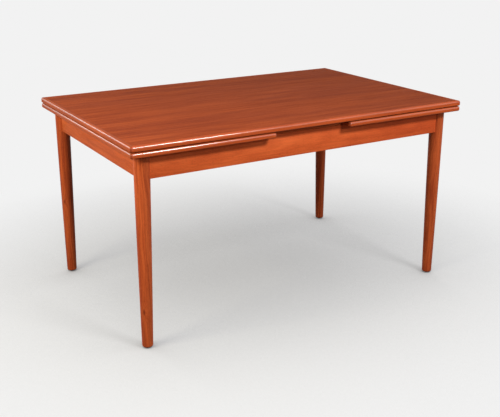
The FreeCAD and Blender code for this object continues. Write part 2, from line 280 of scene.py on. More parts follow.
# ---- shader groups ----
def log_figure_group():
    """Growth rings round the log's heart, cut by the piece's surface. X is along the grain.
    A knot pushes the rings aside, and by default it lies far off."""
    tree, given, result = new_group(
        "log figure", "ShaderNodeTree",
        {"Vector": VECTOR, "Heart Side": NUMBER, "Heart Depth": NUMBER, "Ring Width": NUMBER, "Sway": NUMBER,
         "Sway Length": (NUMBER, 0.5), "Streak Length": (NUMBER, 0.25), "Knot": (VECTOR, (0.0, 0.0, -9.0)),
         "Knot Size": (NUMBER, 0.02)},
        {"Rings": NUMBER, "Bands": NUMBER, "Fibre": NUMBER, "Knot": NUMBER})
    sway_across = 3.0                   # waves of sway for each metre across the grain
    another_part = (7.3, 2.9, 5.1)      # of the same noise, for the second direction
    knot_form = (0.4, 1.0, 1.0)         # a knot is long along the grain
    knot_push = 0.6                     # of its size, for the rings beside it
    ring_roughness = 0.62
    band_scale = (0.13, 0.3, 1.0)       # bands of colour take in several rings
    fibre_scale = (9.0, 520.0, 520.0)
    along = calc(tree, "DIVIDE", 1.0, given["Sway Length"])
    slow = stretched(tree, given["Vector"], vector_of(tree, along, sway_across, sway_across))
    place = parts_of(tree, given["Vector"])
    drift_side = calc(tree, "MULTIPLY_ADD", noise(tree, slow, 1.0, 3.0), given["Sway"], place[1])
    moved = vector_sum(tree, slow, another_part)
    drift_deep = calc(tree, "MULTIPLY_ADD", noise(tree, moved, 1.0, 3.0), given["Sway"], place[2])
    side = calc(tree, "SUBTRACT", drift_side, given["Heart Side"])
    deep = calc(tree, "SUBTRACT", drift_deep, given["Heart Depth"])
    from_heart = length_of(tree, vector_of(tree, side, deep))
    from_knot = stretched(tree, vector_sum(tree, given["Vector"], given["Knot"], "SUBTRACT"), knot_form)
    knot_share = calc(tree, "DIVIDE", length_of(tree, from_knot), given["Knot Size"])
    pushed = times(tree, ease(tree, knot_share, 0.0, 1.0, 1.0, 0.0), given["Knot Size"])
    from_heart = calc(tree, "MULTIPLY_ADD", pushed, knot_push, from_heart)
    ring = calc(tree, "DIVIDE", from_heart, given["Ring Width"])
    streak = calc(tree, "DIVIDE", place[0], given["Streak Length"])
    ring_place = vector_of(tree, ring, streak)
    plug(tree, result["Rings"], noise(tree, ring_place, 1.0, 3.0, ring_roughness))
    plug(tree, result["Bands"], noise(tree, stretched(tree, ring_place, band_scale), 1.0, 2.0))
    plug(tree, result["Fibre"], noise(tree, stretched(tree, given["Vector"], fibre_scale), 1.0, 2.0, 0.6))
    plug(tree, result["Knot"], ease(tree, knot_share, 0.1, 0.3, 1.0, 0.0))
    return tree


def open_pores_group():
    """Short dark pores of open-grained wood, more of them in the early part of each ring."""
    tree, given, result = new_group(
        "open pores", "ShaderNodeTree",
        {"Vector": VECTOR, "Rings": NUMBER, "Pore Length": (NUMBER, 11 * MM),
         "Pore Width": (NUMBER, 0.6 * MM), "Amount": (NUMBER, 0.5)},
        {"Pores": NUMBER})
    early_gain = 0.07
    pore_from, pore_to = 0.60, 0.72
    along = calc(tree, "DIVIDE", 1.0, given["Pore Length"])
    across = calc(tree, "DIVIDE", 1.0, given["Pore Width"])
    cells = noise(tree, stretched(tree, given["Vector"], vector_of(tree, along, across, across)), 1.0, 1.0)
    early = ease(tree, given["Rings"], 0.35, 0.65)
    level = calc(tree, "MULTIPLY_ADD", early, early_gain, cells)
    mask = ease(tree, level, pore_from, pore_to)
    plug(tree, result["Pores"], times(tree, mask, given["Amount"]))
    return tree


def rubbed_finish_group():
    """Hand-rubbed satin: the gloss drifts, with faint cloudy wear and finer brush marks."""
    tree, given, result = new_group(
        "rubbed finish", "ShaderNodeTree",
        {"Vector": VECTOR, "Roughness": NUMBER, "Unevenness": (NUMBER, 0.08), "Pores": (NUMBER, 0.0)},
        {"Roughness": NUMBER, "Height": NUMBER})
    cloud_scale, cloud_share = (3.0, 9.0, 9.0), 1.4
    brush_scale, brush_share = (14.0, 190.0, 190.0), 0.6
    brush_height = 0.25                 # beside the depth of a pore
    dull_pores = 0.15
    clouds = noise(tree, stretched(tree, given["Vector"], cloud_scale), 1.0, 3.0)
    brush = noise(tree, stretched(tree, given["Vector"], brush_scale), 1.0, 2.0)
    both = times(tree, clouds, cloud_share)
    both = calc(tree, "ADD", both, times(tree, brush, brush_share))
    drift = times(tree, calc(tree, "SUBTRACT", both, 1.0), given["Unevenness"])
    duller = calc(tree, "MULTIPLY_ADD", given["Pores"], dull_pores, drift)
    plug(tree, result["Roughness"], calc(tree, "ADD", given["Roughness"], duller, clamp=True))
    ridges = times(tree, brush, brush_height)
    plug(tree, result["Height"], calc(tree, "SUBTRACT", ridges, given["Pores"]))
    return tree


def joint_line_group():
    """Glue lines of an edged panel, the seam round its field and the four mitres, the distance in
    from its nearest side, and a mask of painted shade at its round corners."""
    tree, given, result = new_group(
        "joint line", "ShaderNodeTree",
        {"Vector": VECTOR, "Middle": NUMBER, "Half Length": NUMBER, "Half Width": NUMBER, "Lipping": NUMBER,
         "Line": (NUMBER, 0.3 * MM)},
        {"Joint": NUMBER, "Inset": NUMBER, "Corner Shade": NUMBER})
    corner_shade_full, corner_shade_none = 4 * MM, 8.5 * MM
    place = parts_of(tree, given["Vector"])
    x = calc(tree, "ABSOLUTE", calc(tree, "SUBTRACT", place[0], given["Middle"]))
    in_x = calc(tree, "SUBTRACT", given["Half Length"], x)
    in_y = calc(tree, "SUBTRACT", given["Half Width"], calc(tree, "ABSOLUTE", place[1]))
    nearest = calc(tree, "MINIMUM", in_x, in_y)
    seam = calc(tree, "ABSOLUTE", calc(tree, "SUBTRACT", nearest, given["Lipping"]))
    diagonal = calc(tree, "ABSOLUTE", calc(tree, "SUBTRACT", in_x, in_y))
    on_field = calc(tree, "GREATER_THAN", nearest, given["Lipping"])
    mitre = calc(tree, "ADD", diagonal, on_field)
    share = calc(tree, "DIVIDE", calc(tree, "MINIMUM", seam, mitre), given["Line"])
    plug(tree, result["Joint"], ease(tree, share, 0.5, 1.5, 1.0, 0.0))
    plug(tree, result["Inset"], nearest)
    corner = calc(tree, "MAXIMUM", in_x, in_y)
    plug(tree, result["Corner Shade"], ease(tree, corner, corner_shade_full, corner_shade_none, 1.0, 0.0))
    return tree


def ray_flecks_group():
    """Small lens-shaped flecks of beech, along the grain."""
    tree, given, result = new_group(
        "ray flecks", "ShaderNodeTree", {"Vector": VECTOR, "Length": (NUMBER, 3 * MM)}, {"Flecks": NUMBER})
    slimness = 4.5
    pace = calc(tree, "DIVIDE", 1.0, given["Length"])
    across = times(tree, pace, slimness)
    place = stretched(tree, given["Vector"], vector_of(tree, pace, across, across))
    cell = node(tree, "ShaderNodeTexVoronoi", {"Vector": place, "Scale": 1.0}).outputs["Distance"]
    plug(tree, result["Flecks"], ease(tree, cell, 0.18, 0.32, 1.0, 0.0))
    return tree


log_figure = log_figure_group()
open_pores = open_pores_group()
rubbed_finish = rubbed_finish_group()
joint_line = joint_line_group()
ray_flecks = ray_flecks_group()


# ---- materials ----
GRAIN_TURNS = {"x": (0, 0, 0), "y": (0, 0, -math.pi / 2), "z": (0, math.pi / 2, 0)}


def new_material(name, **constants):
    """Material with one Principled BSDF, whose unchanging values are set on its own sockets."""
    material = bpy.data.materials.new(name)
    material.use_nodes = True
    tree = material.node_tree
    surface = tree.nodes["Principled BSDF"]
    for key, value in constants.items():
        surface.inputs[key.replace("_", " ")].default_value = value
    return material, tree, surface.inputs


def grain_place(tree, grain, shift):
    """Object coordinates turned so that X runs along the grain, at the piece's own part of the log."""
    whole = object_place(tree)
    settings = {"Vector": whole, "Rotation": GRAIN_TURNS[grain], "Location": shift}
    return made(tree, "ShaderNodeMapping", settings), whole


def use_group(tree, group, inputs):
    return node(tree, "ShaderNodeGroup", inputs, node_tree=group).outputs


def give_finish(tree, surface, colour, roughness, height, relief, strength=0.6):
    plug(tree, surface["Base Color"], colour)
    plug(tree, surface["Roughness"], roughness)
    bump = made(tree, "ShaderNodeBump", {"Strength": strength, "Distance": relief, "Height": height})
    plug(tree, surface["Normal"], bump)


def teak_colour(tree, wood, place, heart, knot):
    """Colour of the sawn wood, and the mask of its pores."""
    ring_share, band_share = 0.62, 0.38
    softness = 0.17             # half the step from light to dark wood, at a contrast of 1
    deepest = 0.45              # share of the dark wood's colour in pores and knots
    knot_darkness = 0.75
    light, dark = wood["light"], wood["dark"]
    deep = tuple(channel * deepest for channel in dark)
    figure = use_group(tree, log_figure, {
        "Vector": place, "Heart Side": heart[0], "Heart Depth": heart[1], "Ring Width": wood["ring"],
        "Sway": wood["sway"], "Sway Length": wood["sway_length"], **({"Knot": knot} if knot else {})})
    pores = use_group(tree, open_pores, {"Vector": place, "Rings": figure["Rings"]})["Pores"]
    mixed = calc(tree, "ADD", times(tree, figure["Rings"], ring_share),
                 times(tree, figure["Bands"], band_share))
    spread = softness / wood["contrast"]
    colour = blend_colour(tree, ease(tree, mixed, 0.5 - spread, 0.5 + spread), light, dark)
    colour = brightened(tree, colour, ease(tree, figure["Fibre"], 0.25, 0.75, 0.90, 1.10))
    colour = blend_colour(tree, pores, colour, deep)
    return blend_colour(tree, times(tree, figure["Knot"], knot_darkness), colour, deep), pores


def painted_falloff_colour(tree, whole, colour, start, end, tint):
    """Painted light falloff: the colour deepens by the tint between two places along the table."""
    spot = parts_of(tree, whole)
    away = calc(tree, "MULTIPLY_ADD", spot[1], painted_falloff_across, spot[0])
    deeper = blend_colour(tree, 1.0, colour, tint, "MULTIPLY")
    return blend_colour(tree, ease(tree, away, start, end), colour, deeper)


def grime_and_shade_colour(tree, whole, colour, darkest, untouched, share):
    """Darkening that fades out between two heights: grime at the feet, painted shade in the gap under the
    top.
    """
    return brightened(tree, colour, ease(tree, parts_of(tree, whole)[2], darkest, untouched, share, 1.0))


def jointed_colour(tree, edging, colour):
    """Dark glue lines, and painted shade on the round corners at the mitres."""
    glue_strength = 0.75
    colour = blend_colour(tree, times(tree, edging["Joint"], glue_strength), colour, glue)
    corner_shade = blend_colour(tree, 1.0, colour, corner_shade_tint, "MULTIPLY")
    return blend_colour(tree, edging["Corner Shade"], colour, corner_shade)


def handled_round(tree, whole, edging, waist):
    """Mask of a lipping's upper round, which hands have polished. The round corners, where shade is painted,
    stay nearly dull.
    """
    polish_from, polish_full = 0.02 * MM, 0.2 * MM      # in from the side
    polish_fades, polish_ends = 1.8 * MM, 3.4 * MM
    corner_shade_polish = 0.15
    upper = calc(tree, "GREATER_THAN", parts_of(tree, whole)[2], waist)
    handled = times(tree, ease(tree, edging["Inset"], polish_from, polish_full), upper)
    inner = ease(tree, edging["Inset"], polish_fades, polish_ends, 1.0, 0.0)
    handled = times(tree, handled, inner)
    return times(tree, handled, ease(tree, edging["Corner Shade"], 0.0, 1.0, 1.0, corner_shade_polish))


def teak(name, cut, grain, shift, heart, knot=None, panel=None, painted_falloff=None, grime_and_shade=None):
    """Oiled teak of one cut. The heart of its log lies at (side, depth) beside the grain, and a panel is
    the (middle, half length, half width, lipping width, waist height) of an edged board."""
    relief = 0.06 * MM
    wood = TEAK[cut]
    material, tree, surface = new_material(name, Specular_IOR_Level=wood["gloss"])
    place, whole = grain_place(tree, grain, shift)
    colour, pores = teak_colour(tree, wood, place, heart, knot)
    # Painted light falloff along the table.
    if painted_falloff:
        colour = painted_falloff_colour(tree, whole, colour, *painted_falloff)
    # Grime at the feet of the legs, and painted shade on the top's lippings over the gap.
    if grime_and_shade:
        colour = grime_and_shade_colour(tree, whole, colour, *grime_and_shade)
    if panel:
        middle, half_length, half_width, lipping, waist = panel
        edging = use_group(tree, joint_line, {
            "Vector": whole, "Middle": middle, "Half Length": half_length,
            "Half Width": half_width, "Lipping": lipping})
        colour = jointed_colour(tree, edging, colour)
        if "polish" in wood:
            surface["Coat Roughness"].default_value = polish_roughness
            surface["Coat IOR"].default_value = wood["polish"]
            plug(tree, surface["Coat Weight"], handled_round(tree, whole, edging, waist))
    finish = use_group(tree, rubbed_finish, {
        "Vector": place, "Roughness": wood["roughness"], "Pores": pores})
    give_finish(tree, surface, colour, finish["Roughness"], finish["Height"], relief)
    return material


def beech(name, grain):
    """Pale scraped beech, unfinished, with its flecks."""
    fleck_strength = 0.55
    relief = 0.1 * MM
    material, tree, surface = new_material(name)
    place, _ = grain_place(tree, grain, (0, 0, 0))
    figure = use_group(tree, log_figure, {
        "Vector": place, "Heart Side": 0.02, "Heart Depth": 0.09, "Ring Width": 3 * MM, "Sway": 8 * MM})
    flecks = use_group(tree, ray_flecks, {"Vector": place})["Flecks"]
    colour = blend_colour(tree, ease(tree, figure["Rings"], 0.3, 0.7), beech_light, beech_dark)
    colour = blend_colour(tree, times(tree, flecks, fleck_strength), colour, beech_fleck)
    finish = use_group(tree, rubbed_finish, {"Vector": place, "Roughness": 0.62, "Unevenness": 0.1})
    give_finish(tree, surface, colour, finish["Roughness"], finish["Height"], relief)
    return material


def felt(name):
    """Pressed wool felt: matted fibres of two tones."""
    clump_scale, thread_scale = 900.0, (2600.0, 900.0, 900.0)
    relief = 0.3 * MM
    material, tree, surface = new_material(name, Sheen_Weight=0.4, Sheen_Roughness=0.5)
    whole = object_place(tree)
    clumps = noise(tree, whole, clump_scale, 4.0, 0.7)
    threads = noise(tree, stretched(tree, whole, thread_scale), 1.0, 3.0, 0.7)
    matted = times(tree, calc(tree, "ADD", clumps, threads), 0.5)
    colour = blend_colour(tree, ease(tree, matted, 0.35, 0.65), felt_green, felt_lint)
    give_finish(tree, surface, colour, ease(tree, clumps, 0.2, 0.8, 0.85, 1.0), matted, relief, 0.8)
    return material


def zinc_steel(name):
    """Dull zinc-plated steel with darker handling marks."""
    mark_scale = 420.0
    relief = 0.05 * MM
    material, tree, surface = new_material(name)
    spots = noise(tree, object_place(tree), mark_scale, 3.0, 0.6)
    colour = blend_colour(tree, ease(tree, spots, 0.35, 0.7), zinc_bright, zinc_dull)
    plug(tree, surface["Metallic"], ease(tree, spots, 0.3, 0.8, 1.0, 0.85))
    give_finish(tree, surface, colour, ease(tree, spots, 0.2, 0.8, 0.28, 0.5), spots, relief, 0.4)
    return material


def glide_plastic(name):
    """Dark moulded plastic, scuffed where it slides on the floor."""
    scratch_scale = (300.0, 2600.0, 800.0)
    scuff_full, scuff_ends = 0.2 * MM, 2 * MM           # above the floor
    relief = 0.05 * MM
    material, tree, surface = new_material(name)
    whole = object_place(tree)
    scratches = noise(tree, stretched(tree, whole, scratch_scale), 1.0, 3.0)
    near_floor = ease(tree, parts_of(tree, whole)[2], scuff_full, scuff_ends, 1.0, 0.0)
    scuff = times(tree, near_floor, ease(tree, scratches, 0.45, 0.6))
    colour = blend_colour(tree, scuff, plastic_dark, plastic_scuffed)
    give_finish(tree, surface, colour, ease(tree, scuff, 0.0, 1.0, 0.38, 0.7), scratches, relief, 0.3)
    return material


# ---- meshes ----
def put_in_scene(name, data):
    thing = bpy.data.objects.new(name, data)
    bpy.context.scene.collection.objects.link(thing)
    return thing


def add_piece(name, mesh, material, body, slot, *nodes):
    """A finished mesh rides on its body and stands for its CAD nodes."""
    piece = put_in_scene(name, mesh)
    mesh.materials.clear()
    mesh.materials.append(material)
    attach(piece, body)
    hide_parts(*nodes)
    return piece


def smooth_below(mesh, degrees):
    """Smooth shading, but for the edges that turn by more than this."""
    mesh.shade_smooth()
    mesh.set_sharp_from_angle(angle=math.radians(degrees))
    return mesh


def mesh_from(form, name, smooth_angle=sawn_smooth):
    """Plain mesh from a bmesh, with outward normals."""
    bmesh.ops.remove_doubles(form, verts=form.verts, dist=weld)
    bmesh.ops.recalc_face_normals(form, faces=form.faces)
    mesh = bpy.data.meshes.new(name)
    form.to_mesh(mesh)
    form.free()
    return smooth_below(mesh, smooth_angle)


def taken_from(carrier, name):
    """Plain mesh of what the carrier's modifiers make. The carrier goes."""
    graph = bpy.context.evaluated_depsgraph_get()
    mesh = bpy.data.meshes.new_from_object(carrier.evaluated_get(graph))
    mesh.name = name
    carrier.modifiers.clear()
    bpy.data.objects.remove(carrier)
    return mesh


def grow(tree, name, values, seed_mesh=None):
    """Plain mesh that a geometry tree makes with these named inputs."""
    carrier = put_in_scene(name, seed_mesh or bpy.data.meshes.new(name))
    modifier = carrier.modifiers.new(name, "NODES")
    modifier.node_group = tree
    sockets = {s.name: s.identifier for s in tree.interface.items_tree if s.in_out == "INPUT"}
    for label, value in values.items():
        modifier[sockets[label]] = value
    return taken_from(carrier, name)


def quarter_round(radius):
    """A rounded arris as (in from the side, in from the face) points, from the face to the side."""
    turns = [math.radians(90 * step / round_steps) for step in range(round_steps + 1)]
    return [(radius * (1 - math.sin(turn)), radius * (1 - math.cos(turn))) for turn in turns]


def corner_sides(corner):
    """(1 right or -1 left, 1 back or -1 front)."""
    return 1 if corner.endswith("right") else -1, 1 if corner.startswith("back") else -1


def node_form(node_name):
    """A node's mesh with its triangles joined up."""
    form = bmesh.new()
    form.from_mesh(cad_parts[node_name].data)
    bmesh.ops.remove_doubles(form, verts=form.verts, dist=weld)
    return form


def separate_solids(node_name):
    """Lowest and highest corner of each solid in a node."""
    form = node_form(node_name)
    left = set(form.verts)
    boxes = []
    for first in form.verts:
        if first not in left:
            continue
        left.discard(first)
        found = [first]
        for vert in found:
            for edge in vert.link_edges:
                other = edge.other_vert(vert)
                if other in left:
                    left.discard(other)
                    found.append(other)
        boxes.append(tuple(Vector([pick(v.co[k] for v in found) for k in range(3)]) for pick in (min, max)))
    form.free()
    return sorted(boxes, key=lambda b: tuple(round(c, 4) for c in b[0]))


# ---- table top and leaves ----
def lipping_section(width, low, high):
    """Closed half round section as (inset, height) points, from the upper seam round to the lower one."""
    upper = [(inset, high - depth) for inset, depth in quarter_round(lip_round_up)]
    lower = [(inset, low + depth) for inset, depth in quarter_round(lip_round_down)]
    return [(width, high)] + upper + lower[::-1] + [(width, low)]


def lipping_mesh(name, corners, side, width, low, high):
    """One lipping between two mitres, swept along its side of a panel with rounded corners."""
    (x0, y0), (x1, y1) = corners
    ends = {"front": ((x0, y0), (x1, y0)), "right": ((x1, y0), (x1, y1)),
            "back": ((x1, y1), (x0, y1)), "left": ((x0, y1), (x0, y0))}[side]
    start, end = [Vector(p) for p in ends]
    along = (end - start).normalized()
    inward = Vector((-along.y, along.x))
    corner_steps = round_steps // 2
    turns = [math.radians(45 * step / corner_steps) for step in range(corner_steps + 1)]
    form = bmesh.new()
    rows = []
    for inset, height in lipping_section(width, low, high):
        row = []
        radius = max(lip_corner - inset, 0.0)
        centre_in = max(lip_corner, inset)
        for tip, way, arc in ((start, along, turns[::-1]), (end, -along, turns)):
            for turn in arc:
                away = -math.sin(turn) * way - math.cos(turn) * inward
                row.append(tip + (way + inward) * centre_in + away * radius)
        rows.append([form.verts.new((p.x, p.y, height)) for p in row])
    for upper, lower in zip(rows, rows[1:] + rows[:1]):
        for k in range(len(upper) - 1):
            form.faces.new((upper[k], upper[k + 1], lower[k + 1], lower[k]))
    form.faces.new([row[0] for row in rows])
    form.faces.new([row[-1] for row in reversed(rows)])
    bmesh.ops.remove_doubles(form, verts=form.verts, dist=weld)
    bmesh.ops.dissolve_degenerate(form, edges=form.edges, dist=weld)
    return mesh_from(form, name)


def panel_facts(node_name, lipping_nodes):
    """(corners, low, high, lipping width) of an edged panel, from its CAD nodes."""
    boxes = [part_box(name) for name in lipping_nodes]
    lows = [b[0] for b in boxes]
    highs = [b[1] for b in boxes]
    corners = ((min(p.x for p in lows), min(p.y for p in lows)),
               (max(p.x for p in highs), max(p.y for p in highs)))
    inner_low, inner_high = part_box(node_name)
    return corners, inner_low.z, inner_high.z, inner_low.y - corners[0][1]


def dress_edged_panel(stem, body, lipping_names, number):
    """Veneer on the panel node, and four solid lippings with running grain. Each piece of wood is from
    its own part of the log, and the veneer's heart lies beside the panel, so that its grain is straight."""
    is_top = stem == "top"
    nodes = {side: stem + "_lipping_" + name for side, name in lipping_names.items()}
    corners, low, high, width = panel_facts(stem + "_panel", nodes.values())
    (x0, y0), (x1, y1) = corners
    facts = ((x0 + x1) / 2, (x1 - x0) / 2, (y1 - y0) / 2, width, (low + high) / 2)
    gap_low, gap_high, gap_shade_share = gap_painted_shade
    for index, (side, name) in enumerate(nodes.items()):
        lengthwise = side in ("front", "back")
        cut = "end lipping" if not lengthwise else "top lipping" if is_top else "leaf lipping"
        shift = (0.7 * number + index, 0.13 * index, 0.05 * number)
        # The top's lippings get painted shade on their lower round, over the gap above the leaves.
        finish = teak(name + " teak", cut, "x" if lengthwise else "y", shift, heart=(0.03, 0.14),
                      panel=facts, grime_and_shade=(low + gap_low, low + gap_high, gap_shade_share) if is_top else None)
        mesh = lipping_mesh(name + "_rounded", corners, side, width, low, high)
        add_piece(name + "_rounded", mesh, finish, body, "teak_lipping", name)
    # The top's veneer gets painted light falloff along the table.
    veneer = teak(stem + " veneer", "veneer", "x", (1.9 * number, 0.4 * number, 0.0),
                  heart=(0.75 + 0.4 * number, 0.35), panel=facts, painted_falloff=painted_falloff_of_top if is_top else None)
    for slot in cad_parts[stem + "_panel"].material_slots:
        slot.material = veneer


# ---- legs and glides ----
def leg_tree():
    """The turned blank is made upright on the unit line, then each ring goes to its height and lean."""
    tree, given, result = new_group(
        "raked leg", "GeometryNodeTree",
        {"Foot": VECTOR, "Height": NUMBER, "Foot Radius": (NUMBER, leg_foot_radius),
         "Taper": (NUMBER, leg_taper), "Swell": (NUMBER, leg_swell), "Foot Round": (NUMBER, leg_foot_round),
         "Lean": NUMBER, "Rings": (COUNT, leg_rings), "Sides": (COUNT, leg_sides), "Material": MATERIAL},
        {"Geometry": GEOMETRY})
    tube = made(tree, "GeometryNodeMeshCylinder", {
        "Vertices": given["Sides"], "Side Segments": given["Rings"], "Radius": 1.0, "Depth": 1.0})
    place = parts_of(tree, made(tree, "GeometryNodeInputPosition"))
    share = calc(tree, "ADD", place[2], 0.5, clamp=True)
    # The square puts more rings near the foot, where the leg is rounded.
    rise = times(tree, times(tree, share, share), given["Height"])
    taper = calc(tree, "MULTIPLY_ADD", rise, given["Swell"], given["Taper"])
    radius = calc(tree, "MULTIPLY_ADD", rise, taper, given["Foot Radius"])
    short = calc(tree, "MAXIMUM", calc(tree, "SUBTRACT", given["Foot Round"], rise), 0.0)
    square = times(tree, given["Foot Round"], given["Foot Round"])
    arc = calc(tree, "SQRT", calc(tree, "SUBTRACT", square, times(tree, short, short)))
    radius = calc(tree, "SUBTRACT", radius, calc(tree, "SUBTRACT", given["Foot Round"], arc))
    x = calc(tree, "MULTIPLY_ADD", place[0], radius, times(tree, rise, given["Lean"]))
    y = times(tree, place[1], radius)
    standing = vector_sum(tree, vector_of(tree, x, y, rise), given["Foot"])
    leg = made(tree, "GeometryNodeSetPosition", {"Geometry": tube, "Position": standing})
    return ended(tree, given, result, leg)


def corner_glide(corner):
    """Lowest and highest corner of the glide under one leg, out of the node that holds all four."""
    side_x, side_y = corner_sides(corner)
    for low, high in separate_solids("foot_glides"):
        if low.x * side_x > 0 and low.y * side_y > 0:
            return low, high


def dress_legs():
    # Each leg's heart beside its foot (across and back), and the height of its knot.
    woods = {"front_left": ((0.055, 0.05), 0.14), "front_right": ((-0.12, 0.06), 0.52),
             "back_left": ((0.10, -0.09), 0.31), "back_right": ((-0.03, 0.13), 0.44)}
    knot_aside = (-14 * MM, 13 * MM)
    tree = leg_tree()
    for index, (corner, (heart, knot_height)) in enumerate(woods.items()):
        low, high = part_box("leg_" + corner)
        foot_low, foot_high = corner_glide(corner)
        foot = (foot_low + foot_high) / 2
        side_x, _ = corner_sides(corner)
        shift = (1.3 * index, 0.0, -0.4 * index)
        knot = (knot_height + shift[0], foot.y + knot_aside[0], -foot.x + knot_aside[1] + shift[2])
        finish = teak("leg " + corner.replace("_", " ") + " teak", "leg", "z", shift,
                      heart=(foot.y + heart[0], -foot.x + heart[1]), knot=knot, grime_and_shade=foot_grime)
        name = "leg_" + corner + "_turned"
        mesh = grow(tree, name, {
            "Foot": (foot.x, foot.y, low.z), "Height": high.z - low.z, "Lean": -side_x * leg_lean,
            "Material": finish})
        add_piece(name, smooth_below(mesh, leg_smooth), finish, "frame", "teak_leg", "leg_" + corner)


def turned_mesh(name, half_section, middles, sides=40):
    """Solids of revolution on upright lines, from (radius, height) corners, lowest first."""
    form = bmesh.new()
    turns = [math.tau * k / sides for k in range(sides)]
    around = [(math.cos(turn), math.sin(turn)) for turn in turns]
    for middle in middles:
        rings = []
        for radius, height in half_section:
            if radius == 0:
                rings.append([form.verts.new((middle.x, middle.y, height))] * sides)
                continue
            rings.append([form.verts.new((middle.x + radius * x, middle.y + radius * y, height))
                          for x, y in around])
        for lower, upper in zip(rings, rings[1:]):
            for k in range(sides):
                corners = (lower[k], lower[(k + 1) % sides], upper[(k + 1) % sides], upper[k])
                form.faces.new(list(dict.fromkeys(corners)))
    return mesh_from(form, name, turned_smooth)


def turned_nose(radius, end, nose, up=1):
    """(radius, height) points of a rounded end, from its face to its side. Up is -1 for an upper end."""
    return [(radius - inset * MM, end + up * depth * MM) for inset, depth in nose]


def dress_glides(finish):
    """A soft outer rim, and a dimple in the middle that keeps the nail's head off the floor."""
    solids = [corner_glide(corner) for corner in CORNERS]
    low, high = solids[0]
    radius = (high.x - low.x) / 2
    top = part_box("leg_front_left")[0].z + glide_sunk
    dimple = [(glide_dimple_radius + out * MM, up * MM) for out, up in glide_dimple_nose]
    section = ([(0, nail_head_up), (nail_head_radius, nail_head_up - nail_head_dish)] + dimple[::-1]
               + turned_nose(radius, 0, glide_nose) + [(radius, top), (0, top)])
    middles = [(a + b) / 2 for a, b in solids]
    add_piece("foot_glides_domed", turned_mesh("foot_glides_domed", section, middles), finish,
              "frame", "glide_plastic", "foot_glides")


# ---- sawn, eased and bored woodwork ----
def rectangle(low, high):
    return [(low.x, low.y), (high.x, low.y), (high.x, high.y), (low.x, high.y)]


def sawn_mesh(name, outline, way, thickness):
    """Outline of points (x, y, z), swept by the thickness along a way."""
    form = bmesh.new()
    near = [form.verts.new(p) for p in outline]
    far = [form.verts.new(Vector(p) + Vector(way) * thickness) for p in outline]
    form.faces.new(near)
    form.faces.new(far[::-1])
    for k in range(len(outline)):
        form.faces.new((near[k], near[k - 1], far[k - 1], far[k]))
    return mesh_from(form, name)


def bit_mesh(name, bores, sides=24):
    """Plain round rods for boring; each bore is (start, way, radius, length)."""
    form = bmesh.new()
    for start, way, radius, length in bores:
        turn = way.to_track_quat("Z", "Y").to_matrix().to_4x4()
        place = Matrix.Translation(start + way * length / 2) @ turn
        bmesh.ops.create_cone(form, cap_ends=True, segments=sides, radius1=radius, radius2=radius,
                              depth=length, matrix=place)
    return mesh_from(form, name)


def finished_mesh(name, mesh, bores=()):
    """The mesh with sandpapered arrises and round bores."""
    carrier = put_in_scene(name, mesh)
    bevel = carrier.modifiers.new("arris", "BEVEL")
    bevel.width = board_ease
    bevel.segments = 2
    bevel.limit_method = "ANGLE"
    bevel.angle_limit = math.radians(arris_turn)
    bit = None
    if bores:
        bit = put_in_scene(name + "_bit", bit_mesh(name + "_bit", bores))
        boring = carrier.modifiers.new("bores", "BOOLEAN")
        boring.operation = "DIFFERENCE"
        boring.solver = "EXACT"
        boring.object = bit
    finished = taken_from(carrier, name)
    if bit:
        bpy.data.objects.remove(bit)
    return smooth_below(finished, sawn_smooth)


def add_eased(node_name, finish, slot):
    """The node's own form, with sandpapered arrises and no seams inside its flat faces."""
    form = node_form(node_name)
    bmesh.ops.dissolve_limit(form, angle_limit=math.radians(1), verts=form.verts, edges=form.edges)
    mesh = bpy.data.meshes.new(node_name + "_blank")
    form.to_mesh(mesh)
    form.free()
    name = node_name + "_eased"
    add_piece(name, finished_mesh(name, mesh), finish, "frame", slot, node_name)


def dress_aprons():
    # Where each apron lies along its log, and how far the heart is above its middle.
    logs = {"front": (0.0, 0.02), "back": (2.0, 0.05), "left": (4.0, 0.03), "right": (6.0, 0.04)}
    heart_beside = 0.15
    for side, (part, heart_above) in logs.items():
        name = "apron_" + side
        low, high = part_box(name)
        middle = (low + high) / 2
        lengthwise = side in ("front", "back")
        across = middle.y if lengthwise else -middle.x
        heart = (across + heart_beside, middle.z + heart_above)
        # The front apron gets painted light falloff along the table.
        cut, painted_falloff = ("front apron", painted_falloff_of_front_apron) if side == "front" else ("apron", None)
        finish = teak("apron " + side + " teak", cut, "x" if lengthwise else "y", (part, 0, 0),
                      heart, painted_falloff=painted_falloff)
        add_eased(name, finish, "teak_apron")


def screw_places(node_name, way=None):
    """(head, way, length) of each screw in a node; without a way, it points along the screw outwards."""
    places = []
    for low, high in separate_solids(node_name):
        middle = (low + high) / 2
        size = high - low
        along = max(range(3), key=lambda k: size[k])
        if way is None:
            line = Vector([0, 0, 0])
            line[along] = 1 if middle[along] > 0 else -1
        else:
            line = Vector(way)
        places.append((middle - line * size[along] / 2, line, size[along]))
    return places


def pocket(head, line, radius=pocket_radius, over=pocket_over):
    """Bore for a screw's head, as (start, way, radius, length)."""
    return head - line * over, line, radius, over + screw_head_height


